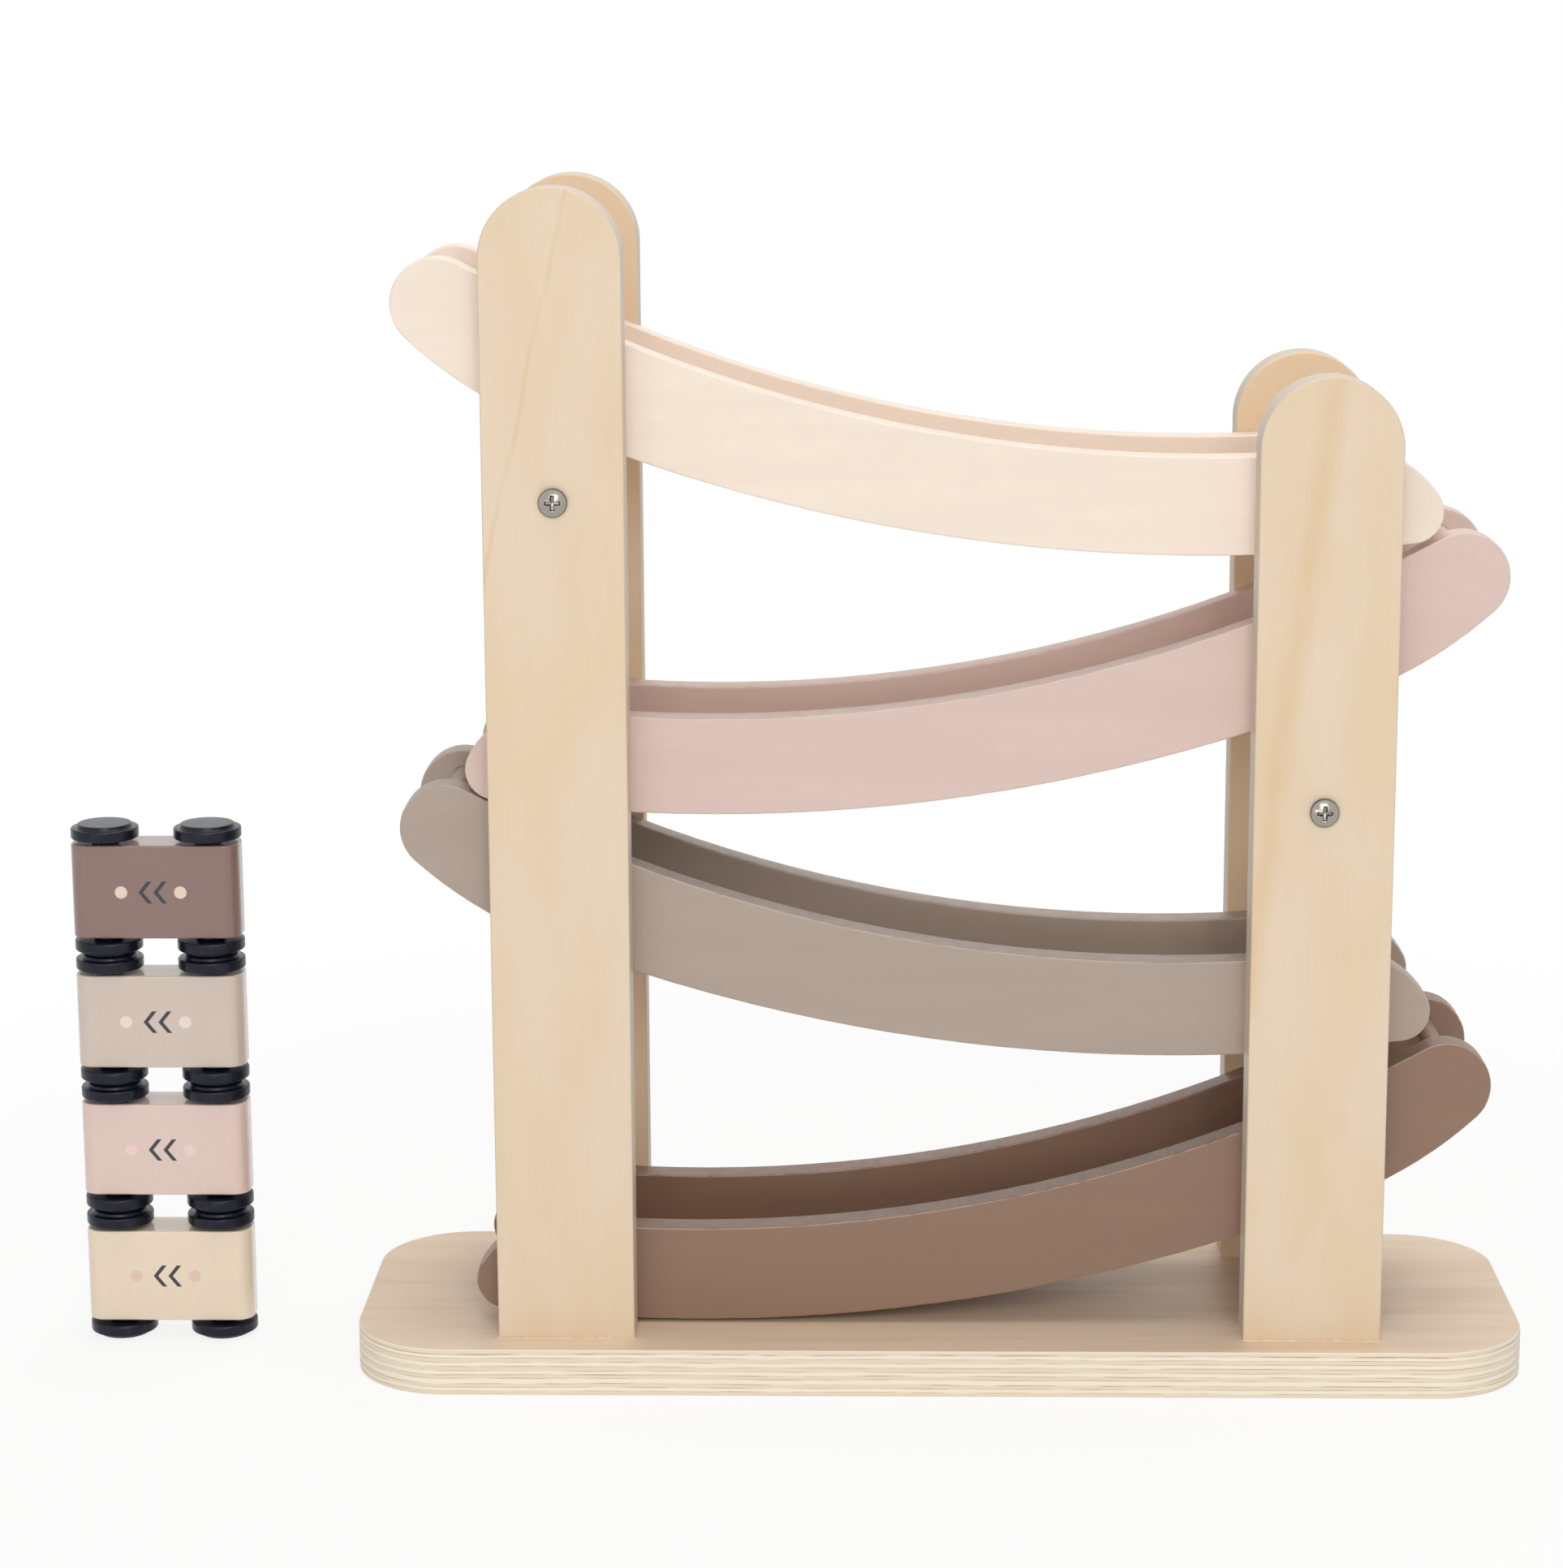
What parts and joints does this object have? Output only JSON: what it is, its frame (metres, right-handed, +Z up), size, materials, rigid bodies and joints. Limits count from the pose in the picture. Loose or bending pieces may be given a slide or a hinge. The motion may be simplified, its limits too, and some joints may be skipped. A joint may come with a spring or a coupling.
{
  "type": "click clack track toy",
  "caption": "Wooden click clack track: a plywood base with tall and short posts, curved channels that start at alternate ends, and small cars with loose wheels stacked beside it.",
  "frame": {"origin": "middle of the underside of the base board", "axes": "+X to the right along the base, towards the short posts; +Y to the back; +Z up"},
  "size_m": [0.4623, 0.117, 0.374],
  "materials": {
    "ply": "satin lacquer on birch plywood",
    "birch": "satin lacquer on birch veneer",
    "beech": "plain turned wood",
    "steel": "zinc plated, satin",
    "wheel_navy": "glossy navy black",
    "cream_paint": "satin matt paint",
    "pink_paint": "satin matt paint",
    "taupe_paint": "satin matt paint",
    "brown_paint": "satin matt paint",
    "cream_gloss": "satin gloss paint",
    "pink_gloss": "satin gloss paint",
    "taupe_gloss": "satin gloss paint",
    "brown_gloss": "satin gloss paint"
  },
  "bodies": {
    "frame": {"base_board": "ply", "front_tall_post": "birch", "back_tall_post": "birch", "front_short_post": "birch", "back_short_post": "birch", "tall_stretcher": "beech", "short_stretcher": "beech", "stretcher_screws": "steel", "foot_screws": "steel", "rail_pegs": "beech", "cream_front_rail": "cream_paint", "cream_back_rail": "cream_paint", "cream_floor": "cream_paint", "cream_stop_dowel": "cream_paint", "pink_front_rail": "pink_paint", "pink_back_rail": "pink_paint", "pink_floor": "pink_paint", "pink_stop_dowel": "pink_paint", "taupe_front_rail": "taupe_paint", "taupe_back_rail": "taupe_paint", "taupe_floor": "taupe_paint", "taupe_stop_dowel": "taupe_paint", "brown_front_rail": "brown_paint", "brown_back_rail": "brown_paint", "brown_floor": "brown_paint", "brown_stop_dowel": "brown_paint"},
    "brown_car": {"brown_car_body": "brown_gloss", "brown_car_front_axle": "steel", "brown_car_rear_axle": "steel"},
    "brown_front_left_wheel": {"brown_car_front_left_wheel": "wheel_navy"},
    "brown_front_right_wheel": {"brown_car_front_right_wheel": "wheel_navy"},
    "brown_rear_left_wheel": {"brown_car_rear_left_wheel": "wheel_navy"},
    "brown_rear_right_wheel": {"brown_car_rear_right_wheel": "wheel_navy"},
    "taupe_car": {"taupe_car_body": "taupe_gloss", "taupe_car_front_axle": "steel", "taupe_car_rear_axle": "steel"},
    "taupe_front_left_wheel": {"taupe_car_front_left_wheel": "wheel_navy"},
    "taupe_front_right_wheel": {"taupe_car_front_right_wheel": "wheel_navy"},
    "taupe_rear_left_wheel": {"taupe_car_rear_left_wheel": "wheel_navy"},
    "taupe_rear_right_wheel": {"taupe_car_rear_right_wheel": "wheel_navy"},
    "pink_car": {"pink_car_body": "pink_gloss", "pink_car_front_axle": "steel", "pink_car_rear_axle": "steel"},
    "pink_front_left_wheel": {"pink_car_front_left_wheel": "wheel_navy"},
    "pink_front_right_wheel": {"pink_car_front_right_wheel": "wheel_navy"},
    "pink_rear_left_wheel": {"pink_car_rear_left_wheel": "wheel_navy"},
    "pink_rear_right_wheel": {"pink_car_rear_right_wheel": "wheel_navy"},
    "cream_car": {"cream_car_body": "cream_gloss", "cream_car_front_axle": "steel", "cream_car_rear_axle": "steel"},
    "cream_front_left_wheel": {"cream_car_front_left_wheel": "wheel_navy"},
    "cream_front_right_wheel": {"cream_car_front_right_wheel": "wheel_navy"},
    "cream_rear_left_wheel": {"cream_car_rear_left_wheel": "wheel_navy"},
    "cream_rear_right_wheel": {"cream_car_rear_right_wheel": "wheel_navy"}
  },
  "joints": [
    {"name": "brown_car_pull", "type": "slide", "parent": "frame", "child": "brown_car", "axis": [-1, 0, 0], "range_m": [0, 0.15]},
    {"name": "brown_front_left_wheel_spin", "type": "hinge", "parent": "brown_car", "child": "brown_front_left_wheel", "pos_m": [-0.2665, 0, 0.13135], "axis": [0, 0, 1], "continuous": true},
    {"name": "brown_front_right_wheel_spin", "type": "hinge", "parent": "brown_car", "child": "brown_front_right_wheel", "pos_m": [-0.2665, 0, 0.16795], "axis": [0, 0, 1], "continuous": true},
    {"name": "brown_rear_left_wheel_spin", "type": "hinge", "parent": "brown_car", "child": "brown_rear_left_wheel", "pos_m": [-0.2335, 0, 0.13135], "axis": [0, 0, 1], "continuous": true},
    {"name": "brown_rear_right_wheel_spin", "type": "hinge", "parent": "brown_car", "child": "brown_rear_right_wheel", "pos_m": [-0.2335, 0, 0.16795], "axis": [0, 0, 1], "continuous": true},
    {"name": "taupe_car_pull", "type": "slide", "parent": "frame", "child": "taupe_car", "axis": [-1, 0, 0], "range_m": [0, 0.15]},
    {"name": "taupe_front_left_wheel_spin", "type": "hinge", "parent": "taupe_car", "child": "taupe_front_left_wheel", "pos_m": [-0.2665, 0, 0.08855], "axis": [0, 0, 1], "continuous": true},
    {"name": "taupe_front_right_wheel_spin", "type": "hinge", "parent": "taupe_car", "child": "taupe_front_right_wheel", "pos_m": [-0.2665, 0, 0.12515], "axis": [0, 0, 1], "continuous": true},
    {"name": "taupe_rear_left_wheel_spin", "type": "hinge", "parent": "taupe_car", "child": "taupe_rear_left_wheel", "pos_m": [-0.2335, 0, 0.08855], "axis": [0, 0, 1], "continuous": true},
    {"name": "taupe_rear_right_wheel_spin", "type": "hinge", "parent": "taupe_car", "child": "taupe_rear_right_wheel", "pos_m": [-0.2335, 0, 0.12515], "axis": [0, 0, 1], "continuous": true},
    {"name": "pink_car_pull", "type": "slide", "parent": "frame", "child": "pink_car", "axis": [-1, 0, 0], "range_m": [0, 0.15]},
    {"name": "pink_front_left_wheel_spin", "type": "hinge", "parent": "pink_car", "child": "pink_front_left_wheel", "pos_m": [-0.2665, 0, 0.04575], "axis": [0, 0, 1], "continuous": true},
    {"name": "pink_front_right_wheel_spin", "type": "hinge", "parent": "pink_car", "child": "pink_front_right_wheel", "pos_m": [-0.2665, 0, 0.08235], "axis": [0, 0, 1], "continuous": true},
    {"name": "pink_rear_left_wheel_spin", "type": "hinge", "parent": "pink_car", "child": "pink_rear_left_wheel", "pos_m": [-0.2335, 0, 0.04575], "axis": [0, 0, 1], "continuous": true},
    {"name": "pink_rear_right_wheel_spin", "type": "hinge", "parent": "pink_car", "child": "pink_rear_right_wheel", "pos_m": [-0.2335, 0, 0.08235], "axis": [0, 0, 1], "continuous": true},
    {"name": "cream_car_pull", "type": "slide", "parent": "frame", "child": "cream_car", "axis": [-1, 0, 0], "range_m": [0, 0.15]},
    {"name": "cream_front_left_wheel_spin", "type": "hinge", "parent": "cream_car", "child": "cream_front_left_wheel", "pos_m": [-0.2665, 0, 0.00295], "axis": [0, 0, 1], "continuous": true},
    {"name": "cream_front_right_wheel_spin", "type": "hinge", "parent": "cream_car", "child": "cream_front_right_wheel", "pos_m": [-0.2665, 0, 0.03955], "axis": [0, 0, 1], "continuous": true},
    {"name": "cream_rear_left_wheel_spin", "type": "hinge", "parent": "cream_car", "child": "cream_rear_left_wheel", "pos_m": [-0.2335, 0, 0.00295], "axis": [0, 0, 1], "continuous": true},
    {"name": "cream_rear_right_wheel_spin", "type": "hinge", "parent": "cream_car", "child": "cream_rear_right_wheel", "pos_m": [-0.2335, 0, 0.03955], "axis": [0, 0, 1], "continuous": true}
  ]
}
